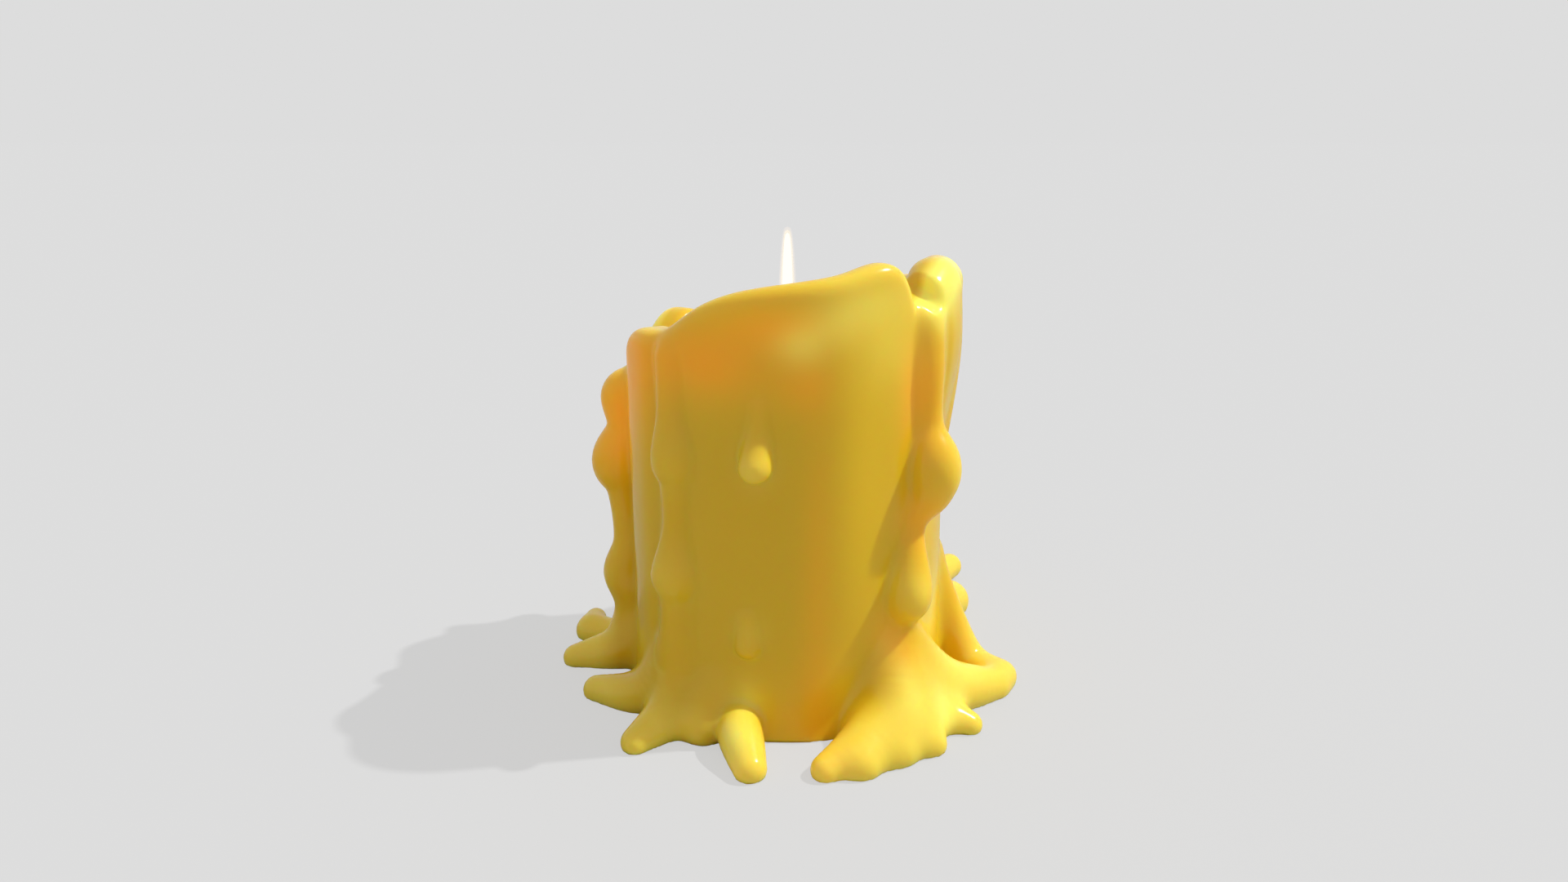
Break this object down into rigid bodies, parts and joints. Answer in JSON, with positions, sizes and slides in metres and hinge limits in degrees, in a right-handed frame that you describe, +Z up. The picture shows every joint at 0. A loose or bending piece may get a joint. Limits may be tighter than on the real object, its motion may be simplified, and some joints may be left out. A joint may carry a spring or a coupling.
{
  "type": "melted pillar candle",
  "caption": "Burning pillar candle melted down on one side, with a burnt cup, spill notches, hanging beads of wax and spread toes at its foot.",
  "frame": {"origin": "the pillar's own axis at the flat underside, on the surface that the candle stands on", "axes": "+Z up the pillar; -Y towards the front, where the bare wall with the single drops is; +X towards the high side with the deep notch"},
  "size_m": [0.1155, 0.1164, 0.111],
  "materials": {
    "wax": "soft golden yellow wax, waxy gloss, deeper amber where it is thin and lit from behind",
    "wick_cotton": "braided cotton, charred black where it burns",
    "flame": "still candle flame, white hot with a pale gold edge"
  },
  "bodies": {
    "root": {"wax_body": "wax", "wick": "wick_cotton", "flame": "flame"}
  },
  "joints": []
}
